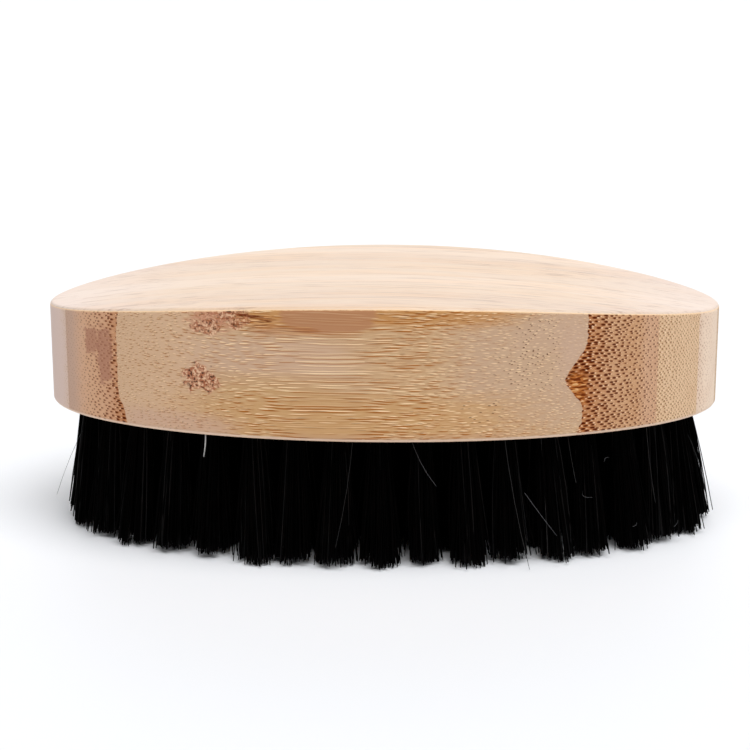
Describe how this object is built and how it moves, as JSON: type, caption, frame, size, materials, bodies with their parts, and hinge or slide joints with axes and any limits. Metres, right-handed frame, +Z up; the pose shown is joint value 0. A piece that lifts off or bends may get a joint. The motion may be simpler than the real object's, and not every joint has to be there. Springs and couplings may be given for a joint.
{
  "type": "beard brush",
  "caption": "Oval palm brush with an arched laminated bamboo block and black bristle tufts held by flat wire anchors in drilled holes, for grooming a beard.",
  "frame": {"origin": "on the resting plane, under the middle of the block, where the bristle tips stand", "axes": "+X along the block, +Y across it, +Z up from the bristle tips to the arched top; the bamboo's fibres are level and turned 4 degrees clockwise from +X"},
  "size_m": [0.1156, 0.063, 0.0435],
  "materials": {
    "bamboo": "fine-sanded bamboo with a thin satin seal; pale golden, with streaks along the fibres and dots where they are cut across",
    "bristle": "stiff black bristle with a slight sheen",
    "anchor_wire": "plain flat steel wire"
  },
  "bodies": {
    "root": {"bamboo_strip_1": "bamboo", "bamboo_strip_2": "bamboo", "bamboo_strip_3": "bamboo", "bamboo_strip_4": "bamboo", "bamboo_strip_5": "bamboo", "bamboo_strip_6": "bamboo", "bamboo_strip_7": "bamboo", "bamboo_strip_8": "bamboo", "bamboo_strip_9": "bamboo", "tuft_row_1": "bristle", "tuft_row_2": "bristle", "tuft_row_3": "bristle", "tuft_row_4": "bristle", "tuft_row_5": "bristle", "tuft_row_6": "bristle", "tuft_row_7": "bristle", "tuft_row_8": "bristle", "tuft_row_9": "bristle", "anchor_row_1": "anchor_wire", "anchor_row_2": "anchor_wire", "anchor_row_3": "anchor_wire", "anchor_row_4": "anchor_wire", "anchor_row_5": "anchor_wire", "anchor_row_6": "anchor_wire", "anchor_row_7": "anchor_wire", "anchor_row_8": "anchor_wire", "anchor_row_9": "anchor_wire"}
  },
  "joints": []
}
